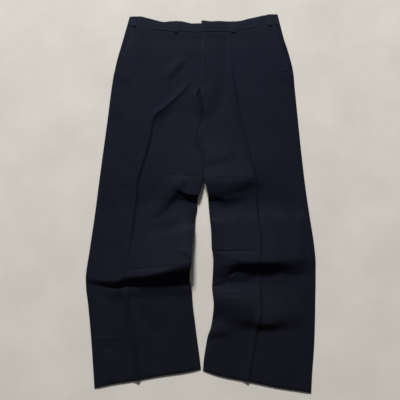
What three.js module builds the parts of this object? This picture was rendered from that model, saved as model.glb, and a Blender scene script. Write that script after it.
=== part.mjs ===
// Wool slacks laid flat on a floor, front up. Millimetres.
// x runs to the wearer's left, y towards the waist, z up; the origin is on the floor under the middle.
// Four leg panels, two waistband halves, two pocket facings and seven belt loops, each a closed cloth wall.
import * as THREE from 'three';

// Driving sizes
const CLOTH = 1.2; // wall of a leg panel
const BAND = 1.8; // wall of the waistband, which is cloth over an interfacing
const LOOP = 1.0; // wall of a belt loop
const LOOP_WIDTH = 11;
const SEAM_GAP = 0.3; // between pieces that are sewn together
const BAND_SEAM_GAP = 1.2; // between the waistband and the panels, along a curved seam
const BAND_HOLLOW = 0.6; // between the front and back runs of the waistband
const LOFT = 3.4; // how far the front stands off the back in the middle of a leg
const WAIST_LOFT = 1.1;
const HEM_LOFT = 0.5;
const EDGE_ROLL = 10; // how fast the front rises from a side seam or an inseam
const FLY_LAP = 27; // how far the right front and its band reach under the left one
const FLY_END = 300; // y of the fly's lower end
const LAP_RISE = 1.7; // how much higher a front lies where it covers another piece
const MOUTH_END = 328; // y of the lower end of a slanted pocket mouth
const CROTCH = 141; // y where the four leg panels meet
const FORK = 36; // y where the gap between the legs starts
const WAIST_LIFT = LOOP + 0.5; // the waist rests on the belt loops at the back
const WOOL = { color: 0x1b1d29, roughness: 0.9, metalness: 0 };
const WOOL_EDGE = { color: 0x20222e, roughness: 0.9, metalness: 0 };

// The line where both fronts, and both backs, meet from the waist down to the fork: [y, x]
const CENTRE = [
  [475, 1.5], [362, 1.5], [291, -1.5], [263, -5.5], [230, -0.5], [208, 4.5], [189, 3.5], [162, -6.5],
  [141, -9.5], [106, -0.5], [87, 6.5], [61, 7.5], [36, 7.5],
];

// Each leg from above. side, crease and inner are lines of [y, x] rows. bandSeam and bandTop are lines of [x, y].
// mouth gives the x of the pocket mouth at the waist and at its lower end.
// sections are lines across the leg of [x, y, lift] points: lift is how far both layers stand off the floor.
// knee is the big fold: its crest as [x, y, height, steepness], and the foot where the shin starts as
// [x, y, height].
const LEGS = {
  right: {
    sign: -1,
    side: [
      [490, -192], [456, -200.5], [419, -210], [350, -227], [283, -237.5], [195, -246], [108, -255], [24, -263.5],
      [-59, -271.5], [-141, -280.5], [-221, -288.5], [-240, -287.5], [-279, -281.5], [-357, -271.5], [-490, -258],
    ],
    crease: [
      [470, -80], [441, -82.5], [322, -100.5], [208, -120.5], [178, -128.5], [133, -136.5], [92, -147.5],
      [54, -158.5], [28, -164.5], [-7, -165.5], [-70, -171.5], [-117, -177.5], [-155, -182.5], [-193, -186.5],
      [-218, -193], [-233, -190], [-264, -183.5], [-297, -181.5], [-342, -172.5], [-390, -165.5], [-420, -159],
      [-475, -156],
    ],
    inner: [
      [36, 7.5], [24, 4.5], [3, -1.5], [-18, -8.5], [-39, -9.5], [-59, -13.5], [-100, -17.5], [-141, -21.5],
      [-181, -23.5], [-201, -27.5], [-221, -28.5], [-240, -23.5], [-279, -20.5], [-318, -15.5], [-357, -10.5],
      [-414, -2.5], [-440, 0.5],
    ],
    bandSeam: [
      [-205, 456], [-173.5, 457], [-152.5, 453], [-124.5, 445], [-100.5, 442], [-56.5, 439], [-2, 438], [40, 438],
    ],
    bandTop: [
      [-205, 483], [-187.5, 483], [-166.5, 484], [-144.5, 479], [-122.5, 473], [-100.5, 468], [-78.5, 470],
      [-56.5, 470], [-35.5, 466], [-24.5, 463.5], [-2.5, 464], [40, 464],
    ],
    mouth: { top: -181, bottom: -219 },
    sections: {
      hip: [[-240, 255, 0], [-110, 250, 0], [0, 250, 0]],
      crotch: [[-250, 150, 0], [-135, 141, 1.5], [-8, 141, 3.5]],
      aboveMiddleFold: [[-258, 84, 0.4], [-150, 82, 2.5], [-50, 80, 7.5], [7, 78, 9.5]],
      middleFold: [
        [-263, 22, 0.5], [-164, 30, 3], [-110, 30, 5.5], [-76, 24, 8.5], [-46, 4, 13], [-24, -6, 14.5],
        [6, -5, 14.5],
      ],
      middleSlope: [
        [-265, -2, 0.4], [-164, 2, 2.2], [-110, 2, 3.6], [-76, -2, 5], [-46, -10, 6.4], [-24, -13, 7.4],
        [0, -12, 7.4],
      ],
      thighValley: [
        [-268, -24, 0.3], [-166, -24, 1.6], [-110, -26, 1.6], [-76, -26, 1], [-46, -24, 0.4], [-24, -22, 0.2],
        [-9, -22, 0.2],
      ],
      thighFoot: [[-269, -38, 0.4], [-166, -38, 2.2], [-110, -40, 2.4], [-46, -42, 2], [-9, -42, 1.6]],
      thigh: [[-274, -84, 1.2], [-172, -80, 6], [-90, -78, 8.5], [-45, -77, 9], [-16, -76, 5]],
      shin: [[-270, -372, 0], [-168, -368, 0], [-10, -352, 0]],
      hem: [
        [-258.5, -479, 0], [-216.5, -470, 0], [-156.5, -461, 0], [-100.5, -451, 0], [-41.5, -443, 0],
        [0.5, -435, 0],
      ],
    },
    knee: {
      crest: [
        [-289, -214, 3, 0], [-271, -217, 6, 0], [-240, -221, 10, 0], [-205, -219, 15, 0.3], [-190, -210, 17, 0.5],
        [-172, -208, 21, 0.8], [-147, -207, 24, 1], [-87, -194, 31, 1], [-48, -182, 35, 1], [-24, -176, 34, 1],
      ],
      foot: [
        [-289, -232, 0], [-262, -237, 0.2], [-238, -241, 0.3], [-215, -248, 0.4], [-195, -253, 0.6],
        [-180, -247, 0.8], [-150, -243, 1], [-88, -243, 1.4], [-25, -243, 1.6],
      ],
    },
  },
  left: {
    sign: 1,
    side: [
      [490, 208.5], [458, 215.5], [419, 224.5], [396, 231.5], [373, 237.5], [328, 246.5], [283, 249.5],
      [195, 255.5], [108, 261.5], [24, 268.5], [-59, 277.5], [-141, 286.5], [-181, 288.5], [-221, 287.5],
      [-260, 285.5], [-318, 282.5], [-376, 278.5], [-451, 270.5], [-495, 267],
    ],
    crease: [
      [470, 82.5], [393, 83.5], [333, 84.5], [290, 86.5], [258, 93.5], [205, 101.5], [158, 114.5], [102, 125.5],
      [53, 138.5], [32, 139.5], [-1, 144.5], [-57, 144.5], [-101, 150.5], [-139, 151.5], [-165, 146.5],
      [-211, 145.5], [-257, 147.5], [-288, 149.5], [-324, 141.5], [-360, 134.5], [-390, 129.5], [-431, 124.5],
      [-475, 113],
    ],
    inner: [
      [36, 7.5], [24, 10.5], [3, 17.5], [-18, 18.5], [-59, 21.5], [-100, 25.5], [-141, 26.5], [-161, 30.5],
      [-201, 29.5], [-240, 27.5], [-279, 31.5], [-318, 27.5], [-338, 23.5], [-357, 16.5], [-395, 9.5], [-414, 6.5],
      [-445, 4],
    ],
    bandSeam: [[-2, 438], [84.5, 440], [118.5, 446], [140.5, 450], [172.5, 458], [193.5, 459], [220, 458]],
    bandTop: [
      [-2, 471], [2.5, 471], [30.5, 468.5], [51.5, 470], [84.5, 469], [106.5, 471], [128.5, 477], [150.5, 482],
      [172.5, 487], [194.5, 490], [220, 490],
    ],
    mouth: { top: 193, bottom: 233.5 },
    sections: {
      hip: [[0, 250, 0], [95, 250, 0], [252, 255, 0]],
      crotch: [[-8, 141, 3.5], [118, 141, 3], [258, 150, 0]],
      aboveMiddleFold: [[7, 78, 9.5], [60, 80, 10.5], [130, 80, 7], [264, 84, 0.4]],
      middleFold: [
        [8, 22, 17], [30, 23, 19], [62, 25, 19], [105, 31, 17], [130, 35, 13], [148, 34, 8], [170, 30, 4],
        [268, 22, 0.5],
      ],
      middleSlope: [
        [14, -12, 8], [40, -13, 7.6], [62, -14, 5.6], [105, -2, 6], [144, 6, 3.6], [172, 0, 2.2], [272, -10, 0.4],
      ],
      thighValley: [
        [18, -21, 0.2], [48, -26, 0.2], [66, -34, 0.4], [105, -26, 0.8], [144, -20, 1.2], [275, -30, 0.3],
      ],
      thighFoot: [[19, -38, 1.6], [48, -44, 2], [66, -48, 2.2], [105, -42, 2.4], [144, -40, 2.6], [275, -44, 0.5]],
      thigh: [
        [23, -64, 3], [50, -66, 4.8], [98, -66, 7.2], [150, -66, 7.4], [190, -67, 6.4], [220, -68, 4.6],
        [279, -72, 1.2],
      ],
      shin: [[14, -366, 0], [133, -370, 0], [278, -376, 0]],
      hem: [
        [4.5, -438, 0], [46.5, -451, 0], [115.5, -464, 0], [192.5, -479, 0], [235.5, -485, 0], [267.5, -490, 0],
      ],
    },
    knee: {
      crest: [
        [28, -152, 9, 0], [50, -159, 15, 0.2], [72, -165, 19, 0.35], [90, -169, 22.5, 0.75], [108, -171, 26, 1],
        [150, -173, 26, 1], [180, -172, 24, 1], [192, -171, 22, 0.8], [204, -170, 19, 0.1], [228, -168, 17, 0],
        [250, -166, 14, 0], [264, -165, 7, 0], [289, -163, 3, 0],
      ],
      foot: [
        [28, -228, 2], [52, -232, 1.6], [74, -229, 1.2], [98, -216, 0.8], [150, -209, 0.8], [188, -210, 0.6],
        [207, -217, 0.4], [230, -218, 0.3], [256, -214, 0.2], [289, -196, 0],
      ],
    },
  },
};

// Sections from the waist to the hem, with the number of mesh rows from the one before.
const ROW_STEPS = [
  ['waist', 0], ['underBand', 2], ['mouthEnd', 3], ['underMouth', 1], ['hip', 3], ['crotch', 4],
  ['aboveMiddleFold', 3], ['middleFold', 2], ['middleSlope', 1], ['thighValley', 1], ['thighFoot', 1],
  ['thigh', 2], ['kneeRise', 2], ['kneeSlope', 1], ['kneeShoulder', 1], ['kneeRoll', 1], ['kneeCrest', 1],
  ['kneeLip', 1], ['kneeFace', 1], ['kneeTuck', 1], ['kneeBase', 1], ['kneeFloor', 1], ['kneeFoot', 1],
  ['kneeHeel', 1], ['kneeEnd', 1], ['shin', 3], ['hem', 3],
];

// The knee fold from the thigh to the shin. before is millimetres above the crest, after below the foot, and across
// a share of the way from the crest to the foot. up and footUp are shares of the crest's and the foot's heights.
// Where the steepness is 0 the fold is gentle: it has no overhang, and goes down evenly.
const KNEE_PROFILE = {
  kneeRise: { before: 84, up: 0.46 },
  kneeSlope: { before: 54, up: 0.65 },
  kneeShoulder: { before: 26, up: 0.83 },
  kneeRoll: { before: 9, up: 0.945 },
  kneeCrest: { across: 0, gentle: 0, up: 1, gentleUp: 1 },
  kneeLip: { across: 0.2, gentle: 0.25, up: 0.9, gentleUp: 0.84 },
  kneeFace: { across: 0.235, gentle: 0.5, up: 0.6, gentleUp: 0.5 },
  kneeTuck: { across: 0.225, gentle: 0.72, up: 0.3, gentleUp: 0.2, footUp: 0.1 },
  kneeBase: { across: 0.3, gentle: 0.84, up: 0.08, gentleUp: 0.06, footUp: 0.3 },
  kneeFloor: { across: 0.68, gentle: 0.93, up: 0.02, gentleUp: 0.02, footUp: 0.4 },
  kneeFoot: { across: 1, gentle: 1, up: 0, gentleUp: 0, footUp: 1 },
  kneeHeel: { after: 8, up: 0, footUp: 1 },
  kneeEnd: { after: 34, up: 0, footUp: 0.9 },
};

// Shares of the way across a leg for the mesh columns: 0 is the side seam, 0.5 the pressed crease, 1 the inner edge.
const COLUMNS = [0, 0.03, 0.09, 0.2, 0.34, 0.45, 0.5, 0.55, 0.65, 0.76, 0.87, 0.94, 0.98, 1];

// Folds of the front cloth alone: [x, y, height] points, a negative height for a trough, and how far the fold
// spreads to the left and to the right of its line. A crisp one has a sharp top.
const FOLDS = [
  { name: 'right upper crease', crisp: true, left: 8, right: 15, line: [
    [-28, 302, 0], [-39, 283, 2.6], [-68, 252, 3.4], [-104, 219, 3.6], [-122, 205, 4], [-129, 178, 5],
    [-137, 133, 5], [-148, 92, 4.8], [-159, 54, 4.8], [-165, 28, 5], [-166.5, -7, 5], [-172.5, -70, 5],
    [-178.5, -117, 5], [-183.5, -155, 4.6], [-187, -193, 3.6], [-193, -214, 1.5]] },
  { name: 'right crease wedge', left: 27, right: 9, line: [
    [-62, 257, 0], [-84, 238, 2.6], [-104, 219, 4.8], [-119, 207, 4.2], [-127, 190, 0.8], [-130, 176, 0]] },
  { name: 'right lower crease', crisp: true, left: 7, right: 15, line: [
    [-190, -248, 1.6], [-184, -264, 4.4], [-182, -297, 4.4], [-173, -342, 3.6], [-162, -390, 4], [-152, -466, 4]] },
  { name: 'left upper crease', crisp: true, left: 6, right: 15, line: [
    [78, 405, 0.4], [81, 333, 1.4], [85, 296, 3], [91, 262, 5], [99, 205, 4.6], [111, 158, 4.6], [122, 102, 4.6],
    [135, 53, 4.4], [137.5, 32, 3.6], [140.5, -1, 4.6], [141.5, -57, 4.8], [145.5, -101, 4.8], [147, -139, 4],
    [144, -168, 1.4]] },
  { name: 'left lower crease', crisp: true, left: 6, right: 15, line: [
    [144, -215, 2], [145, -257, 4.4], [146, -288, 4.4], [139, -324, 3.6], [132, -360, 4.2], [126, -390, 4.2],
    [113, -464, 4]] },
  { name: 'right hip roll', left: 22, right: 22, line: [
    [-48, 368, 0], [-64, 348, 2], [-82, 324, 2], [-96, 302, 0]] },
  { name: 'right side trough', left: 24, right: 24, line: [
    [-218, 215, 0], [-226, 185, -1.4], [-236, 120, -1.4], [-246, 60, 0]] },
  { name: 'fly end groove', left: 4.5, right: 4.5, line: [
    [-3, 280, 0], [-4.5, 268, -4], [-5.5, 258, -5.5], [-1.5, 234, -5.5], [4, 210, -4.5], [4.5, 202, -2.6],
    [2, 186, -1.8], [-6, 164, -1.2], [-9.5, 145, -1], [-6, 120, -1.2], [1, 98, -1.4], [6, 75, -1.8],
    [7.5, 42, -1.4]] },
  { name: 'fly end shade', left: 16, right: 16, line: [[-6, 146, 0], [-4, 128, -2.2], [0, 106, -2.2], [4, 90, 0]] },
  { name: 'right fly roll', left: 7, right: 16, line: [
    [-12, 282, 0], [-14, 262, 3.4], [-10, 240, 3.4], [-4, 216, 2.4], [-3, 200, 0]] },
  { name: 'left fly roll', left: 30, right: 8, line: [
    [5, 284, 0], [3, 262, 2.8], [7, 240, 3.2], [12, 216, 2.2], [16, 202, 0]] },
  { name: 'left fly trough', left: 22, right: 26, line: [
    [62, 290, 0], [56, 256, -1.3], [46, 226, -1.3], [34, 200, 0]] },
  { name: 'left crotch roll', left: 76, right: 26, line: [
    [4, 76, 0], [18, 84, 2.6], [45, 94, 3.2], [76, 106, 2], [98, 116, 0]] },
  { name: 'right thigh drag', left: 19, right: 44, line: [
    [-40, 40, 0], [-50, 26, 4], [-66, 4, 6], [-84, -18, 6], [-102, -38, 4.6], [-120, -54, 2.2], [-130, -60, 0]] },
  { name: 'right thigh trough', left: 24, right: 22, line: [
    [-138, -99, 0], [-110, -98, -1.7], [-70, -94, -1.9], [-40, -82, 0]] },
  { name: 'right inseam dimple', left: 26, right: 11, line: [[-62, -138, 0], [-44, -148, 2], [-24, -156, 2.2]] },
  { name: 'left thigh trough', left: 26, right: 40, line: [[24, -84, 1.6], [44, -80, 2], [72, -76, 0]] },
  { name: 'left knee slope', left: 30, right: 26, line: [
    [56, -196, 0], [72, -202, 5], [96, -204, 6], [118, -201, 4], [138, -197, 0]] },
  { name: 'left shin slope', left: 62, right: 58, line: [
    [26, -262, 9.5], [44, -266, 12.5], [64, -268, 13], [92, -272, 10.5], [116, -280, 6], [140, -292, 0]] },
  { name: 'left shin fold', left: 84, right: 36, line: [
    [52, -302, 0], [80, -306, 7], [108, -309, 12], [138, -311, 14], [165, -312, 14], [190, -311, 11.5],
    [215, -309, 8], [245, -306, 4], [270, -304, 0]] },
  { name: 'left shin block', left: 12, right: 14, line: [
    [130, -325, 0], [142, -325, 2.8], [176, -326, 2.8], [190, -324, 0]] },
  { name: 'left shin notch', left: 44, right: 22, line: [
    [6, -346, 4], [26, -344, 6], [52, -341, 5.5], [84, -334, 0]] },
  { name: 'right calf hollow', left: 28, right: 28, line: [
    [-148, -296, 0], [-126, -320, -1.8], [-118, -344, -1.6], [-122, -366, 0]] },
];

// Belt loops: the waistband half that each is sewn to and its x. The back ones lie on the floor.
const BELT_LOOPS = [
  { name: 'belt_loop_front_right', leg: 'right', x: -66, face: 'front' },
  { name: 'belt_loop_side_right', leg: 'right', x: -180.5, face: 'front' },
  { name: 'belt_loop_front_left', leg: 'left', x: 87, face: 'front' },
  { name: 'belt_loop_side_left', leg: 'left', x: 186, face: 'front' },
  { name: 'belt_loop_back_right', leg: 'right', x: -112, face: 'back' },
  { name: 'belt_loop_back_centre', leg: 'left', x: 7.5, face: 'back' },
  { name: 'belt_loop_back_left', leg: 'left', x: 128, face: 'back' },
];

const mix = (a, b, t) => a + (b - a) * t;

function smoothstep(low, high, value) {
  const t = Math.min(1, Math.max(0, (value - low) / (high - low)));
  return t * t * (3 - 2 * t);
}

// A smooth function through rows of [key, value], with no overshoot between rows and straight beyond the ends.
function throughTable(rows, column = 1) {
  const sorted = [...rows].sort((a, b) => a[0] - b[0]);
  const keys = sorted.map((row) => row[0]);
  const values = sorted.map((row) => row[column]);
  const last = keys.length - 1;
  const slopes = keys.slice(1).map((key, i) => (values[i + 1] - values[i]) / (key - keys[i]));
  const tangents = keys.map((key, i) => {
    if (i === 0) return slopes[0];
    if (i === last) return slopes[last - 1];
    const [before, after] = [slopes[i - 1], slopes[i]];
    return before * after <= 0 ? 0 : (2 * before * after) / (before + after);
  });
  return (key) => {
    if (key <= keys[0]) return values[0] + slopes[0] * (key - keys[0]);
    if (key >= keys[last]) return values[last] + slopes[last - 1] * (key - keys[last]);
    let i = 0;
    while (key > keys[i + 1]) i++;
    const span = keys[i + 1] - keys[i];
    const t = (key - keys[i]) / span;
    const h = t * t * (3 - 2 * t);
    const bend = span * t * (1 - t) * ((1 - t) * tangents[i] - t * tangents[i + 1]);
    return mix(values[i], values[i + 1], h) + bend;
  };
}

const centreX = throughTable(CENTRE);

// The smooth lines and sections of a leg, ready to be evaluated.
function prepareLeg(leg) {
  const side = throughTable(leg.side);
  const fork = throughTable(leg.inner);
  const inseam = (y) => (y > FORK ? centreX(y) + (leg.sign * SEAM_GAP) / 2 : fork(y) + (leg.sign * SEAM_GAP) / 2);
  const crest = throughTable(leg.knee.crest);
  const height = throughTable(leg.knee.crest, 2);
  const foot = throughTable(leg.knee.foot);
  const footHeight = throughTable(leg.knee.foot, 2);
  const steepness = throughTable(leg.knee.crest, 3);
  const steep = (x) => Math.min(1, Math.max(0, steepness(x)));
  const bandSeam = throughTable(leg.bandSeam);
  const lines = {
    waist: { y: (x) => bandSeam(x) - BAND_SEAM_GAP, lift: () => WAIST_LIFT },
    underBand: { y: () => 404, lift: () => 0 },
    mouthEnd: { y: () => MOUTH_END + 3, lift: () => 0 },
    underMouth: { y: () => MOUTH_END - 6, lift: () => 0 },
  };
  for (const [name, points] of Object.entries(leg.sections)) {
    lines[name] = { y: throughTable(points), lift: throughTable(points, 2) };
  }
  for (const [name, place] of Object.entries(KNEE_PROFILE)) {
    const y = (x) => {
      if ('before' in place) return crest(x) + place.before;
      if ('after' in place) return foot(x) - place.after;
      return mix(crest(x), foot(x), mix(place.gentle, place.across, steep(x)));
    };
    const lift = (x) => {
      const up = mix(place.gentleUp ?? place.up, place.up, steep(x));
      return up * height(x) + (place.footUp ?? 0) * footHeight(x);
    };
    lines[name] = { y, lift };
  }
  return {
    ...leg, side, inseam, lines, bandSeam,
    crease: throughTable(leg.crease),
    bandTop: throughTable(leg.bandTop),
    hem: lines.hem.y,
  };
}

const legs = { right: prepareLeg(LEGS.right), left: prepareLeg(LEGS.left) };

// The x of the pocket mouth at y, on the line from the waist seam to its lower end.
function mouthX(leg, y) {
  const top = leg.bandSeam(leg.mouth.top);
  return mix(leg.mouth.bottom, leg.mouth.top, (y - MOUTH_END) / (top - MOUTH_END));
}

// Edges of a panel at y. The back runs from side seam to centre or inseam. The front stops at the pocket mouth,
// and the right one also reaches under the fly.
function panelEdges(leg, layer) {
  if (layer === 'back') return { outer: leg.side, inner: leg.inseam };
  const outer = (y) => mix(leg.side(y), mouthX(leg, y), smoothstep(MOUTH_END - 6, MOUTH_END + 2, y));
  const lap = leg.sign < 0 ? FLY_LAP : 0;
  const inner = (y) => leg.inseam(y) + lap * smoothstep(FLY_END, FLY_END + 22, y);
  return { outer, inner };
}

// The surface between the two layers of a leg, as rows of [x, y, lift] from waist to hem and side to inner edge.
function legRows(leg, layer) {
  const edges = panelEdges(leg, layer);
  const across = (share, y) => {
    const crease = leg.crease(y);
    if (share < 0.5) return mix(edges.outer(y), crease, share * 2);
    return mix(crease, edges.inner(y), share * 2 - 1);
  };
  const columns = COLUMNS.map((share) => {
    const stations = [];
    ROW_STEPS.forEach(([name], index) => {
      const line = leg.lines[name];
      let y = line.y(across(share, 0));
      for (let pass = 0; pass < 4; pass++) y = line.y(across(share, y));
      stations.push([index, y, line.lift(across(share, y))]);
    });
    return { share, y: throughTable(stations), lift: throughTable(stations, 2) };
  });
  const rows = [];
  ROW_STEPS.forEach(([, steps], index) => {
    for (let step = 1; step <= Math.max(1, steps); step++) {
      const station = steps === 0 ? 0 : index - 1 + step / steps;
      rows.push(columns.map(({ share, y, lift }) => {
        const at = y(station);
        return new THREE.Vector3(across(share, at), at, lift(station));
      }));
    }
  });
  return rows;
}

// A smooth line of fold points, finer than its table, with its height at each.
function finePath(points) {
  const steps = 6;
  const path = [];
  const at = (i) => points[Math.min(points.length - 1, Math.max(0, i))];
  for (let i = 0; i < points.length - 1; i++) {
    const [a, b, c, d] = [at(i - 1), at(i), at(i + 1), at(i + 2)];
    for (let step = 0; step < steps; step++) {
      const t = step / steps;
      const place = (k) => 0.5 * (2 * b[k] + (c[k] - a[k]) * t + (2 * a[k] - 5 * b[k] + 4 * c[k] - d[k]) * t * t
        + (3 * b[k] - a[k] - 3 * c[k] + d[k]) * t * t * t);
      path.push([place(0), place(1), mix(b[2], c[2], t)]);
    }
  }
  path.push(points[points.length - 1]);
  return path;
}

const foldPaths = FOLDS.map((fold) => ({ ...fold, path: finePath(fold.line) }));

// How high one fold stands at a point: its height at the nearest place on its line, less with distance.
function foldHeight(fold, x, y) {
  let nearest = Infinity;
  let height = 0;
  let isLeft = true;
  for (let i = 0; i < fold.path.length - 1; i++) {
    const [ax, ay, ah] = fold.path[i];
    const [bx, by, bh] = fold.path[i + 1];
    const [dx, dy] = [bx - ax, by - ay];
    const t = Math.min(1, Math.max(0, ((x - ax) * dx + (y - ay) * dy) / (dx * dx + dy * dy)));
    const distance = Math.hypot(x - ax - dx * t, y - ay - dy * t);
    if (distance < nearest) {
      nearest = distance;
      height = mix(ah, bh, t);
      isLeft = dx * (y - ay) - dy * (x - ax) > 0;
    }
  }
  const away = Math.min(1, nearest / (isLeft ? fold.left : fold.right));
  return height * (fold.crisp ? (1 - away) ** 1.35 : 1 - smoothstep(0, 1, away));
}

// The sum of a leg's folds. Those named after the other leg don't reach over to it.
function foldsAt(leg, x, y) {
  const otherSide = leg.sign < 0 ? 'left' : 'right';
  const own = foldPaths.filter((fold) => !fold.name.startsWith(otherSide));
  return own.reduce((sum, fold) => sum + foldHeight(fold, x, y), 0);
}

// How far the front cloth stands off the back: low at the side seams, the inseams and the waist.
function loftAt(leg, x, y) {
  const fromSide = Math.abs(x - leg.side(y));
  const fromInner = Math.max(0, leg.sign * (x - leg.inseam(y)));
  const pinch = 1 - smoothstep(FORK, CROTCH + 10, y);
  const rise = (1 - Math.exp(-fromSide / EDGE_ROLL)) * (1 - pinch * Math.exp(-fromInner / EDGE_ROLL));
  const full = mix(WAIST_LOFT, LOFT, smoothstep(0, 60, leg.bandSeam(x) - y));
  return mix(HEM_LOFT, full, smoothstep(0, 60, y - leg.hem(x))) * rise;
}

// How much higher a front lies over a pocket facing, and the left front over the right one's lap at the fly.
function lapRise(leg, x, y) {
  const overFacing = 1 - smoothstep(24, 56, Math.abs(x - mouthX(leg, y)));
  const pocket = overFacing * smoothstep(MOUTH_END - 40, MOUTH_END - 10, y);
  if (leg.sign < 0) return LAP_RISE * pocket;
  const overLap = 1 - smoothstep(FLY_LAP + 6, FLY_LAP + 38, x - centreX(y));
  const fly = overLap * smoothstep(FLY_END - 70, FLY_END - 6, y);
  return LAP_RISE * Math.max(pocket, fly);
}

// Unit normals of a grid of points. Along the edges they keep to the edge's own plane, so that sewn edges are flush.
function gridNormals(grid, sign, flushEdges) {
  const [lastRow, lastColumn] = [grid.length - 1, grid[0].length - 1];
  return grid.map((row, r) => row.map((point, c) => {
    const alongRow = row[Math.min(lastColumn, c + 1)].clone().sub(row[Math.max(0, c - 1)]);
    const alongColumn = grid[Math.min(lastRow, r + 1)][c].clone().sub(grid[Math.max(0, r - 1)][c]);
    const normal = alongRow.cross(alongColumn).multiplyScalar(sign);
    if (flushEdges && (c === 0 || c === lastColumn)) normal.x = 0;
    if (flushEdges && (r === 0 || r === lastRow)) normal.y = 0;
    return normal.normalize();
  }));
}

// A closed cloth wall whose middle is the grid. Nothing goes under the floor.
function wallGeometry(grid, normals, thickness) {
  const [rows, columns] = [grid.length, grid[0].length];
  const positions = [];
  for (const half of [thickness / 2, -thickness / 2]) {
    grid.forEach((row, r) => row.forEach((point, c) => {
      const place = point.clone().addScaledVector(normals[r][c], half);
      positions.push(place.x, place.y, Math.max(0, place.z));
    }));
  }
  const top = (r, c) => r * columns + c;
  const bottom = (r, c) => rows * columns + top(r, c);
  const index = [];
  const quad = (a, b, c, d) => index.push(a, b, c, a, c, d);
  for (let r = 0; r < rows - 1; r++) {
    for (let c = 0; c < columns - 1; c++) {
      quad(top(r, c), top(r, c + 1), top(r + 1, c + 1), top(r + 1, c));
      quad(bottom(r, c), bottom(r + 1, c), bottom(r + 1, c + 1), bottom(r, c + 1));
    }
    quad(top(r, 0), top(r + 1, 0), bottom(r + 1, 0), bottom(r, 0));
    quad(top(r, columns - 1), bottom(r, columns - 1), bottom(r + 1, columns - 1), top(r + 1, columns - 1));
  }
  for (let c = 0; c < columns - 1; c++) {
    quad(top(0, c), bottom(0, c), bottom(0, c + 1), top(0, c + 1));
    quad(top(rows - 1, c), top(rows - 1, c + 1), bottom(rows - 1, c + 1), bottom(rows - 1, c));
  }
  const corner = (i) => new THREE.Vector3().fromArray(positions, index[i] * 3);
  let volume = 0;
  for (let i = 0; i < index.length; i += 3) volume += corner(i).dot(corner(i + 1).cross(corner(i + 2)));
  if (volume < 0) {
    for (let i = 0; i < index.length; i += 3) [index[i], index[i + 1]] = [index[i + 1], index[i]];
  }
  const geometry = new THREE.BufferGeometry();
  geometry.setAttribute('position', new THREE.Float32BufferAttribute(positions, 3));
  geometry.setIndex(index);
  return geometry;
}

const garment = new THREE.Group();

function addPiece(name, geometry, finish = WOOL) {
  const mesh = new THREE.Mesh(geometry, new THREE.MeshStandardMaterial(finish));
  mesh.name = name;
  garment.add(mesh);
}

// One leg panel. Both layers follow the leg's middle surface, half a seam gap to either side of it.
function addPanel(name, leg, layer) {
  const floorHeight = CLOTH + SEAM_GAP / 2;
  const middle = legRows(leg, layer).map((row) => row.map((point) => point.setZ(point.z + floorHeight)));
  const middleNormals = gridNormals(middle, leg.sign, true);
  const offset = (layer === 'front' ? 1 : -1) * (SEAM_GAP + CLOTH) / 2;
  const grid = middle.map((row, r) => row.map((point, c) => {
    const normal = middleNormals[r][c];
    const place = point.clone().addScaledVector(normal, offset);
    if (layer === 'front') {
      const stand = Math.max(0, loftAt(leg, point.x, point.y) + foldsAt(leg, point.x, point.y));
      place.z += stand * Math.max(0, normal.z) ** 2 + lapRise(leg, point.x, point.y);
    }
    return place;
  }));
  const normals = layer === 'front' ? gridNormals(grid, leg.sign, true) : middleNormals;
  addPiece(name, wallGeometry(grid, normals, CLOTH));
}

// The pocket facing fills the space between the pocket mouth and the side seam, and reaches under the front.
function addPocketFacing(name, leg) {
  const underFront = 17;
  const rowCount = 9;
  const shares = [0, 0.15, 0.35, 0.6, 1];
  const rows = [];
  for (let r = 0; r < rowCount; r++) {
    rows.push(shares.map((share) => {
      const across = (y) => mix(leg.side(y), mouthX(leg, y) - leg.sign * underFront, share);
      let y = leg.lines.waist.y(across(450));
      y = mix(leg.lines.waist.y(across(y)), MOUTH_END - 4, r / (rowCount - 1));
      const x = across(y);
      const lift = WAIST_LIFT * smoothstep(404, leg.bandSeam(x), y);
      return new THREE.Vector3(x, y, lift + CLOTH + SEAM_GAP + CLOTH / 2 + loftAt(leg, x, y));
    }));
  }
  addPiece(name, wallGeometry(rows, gridNormals(rows, leg.sign, true), CLOTH));
}

const bandBackHeight = WAIST_LIFT + BAND / 2;
const bandFrontHeight = bandBackHeight + BAND + BAND_HOLLOW;
const bandLapRise = BAND + SEAM_GAP;

// Height of the middle of the band's front run: the left one climbs over the right one's lap.
function bandFrontZ(leg, x) {
  if (leg.sign < 0) return bandFrontHeight;
  return bandFrontHeight + bandLapRise * (1 - smoothstep(FLY_LAP + 6, FLY_LAP + 40, x));
}

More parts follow.
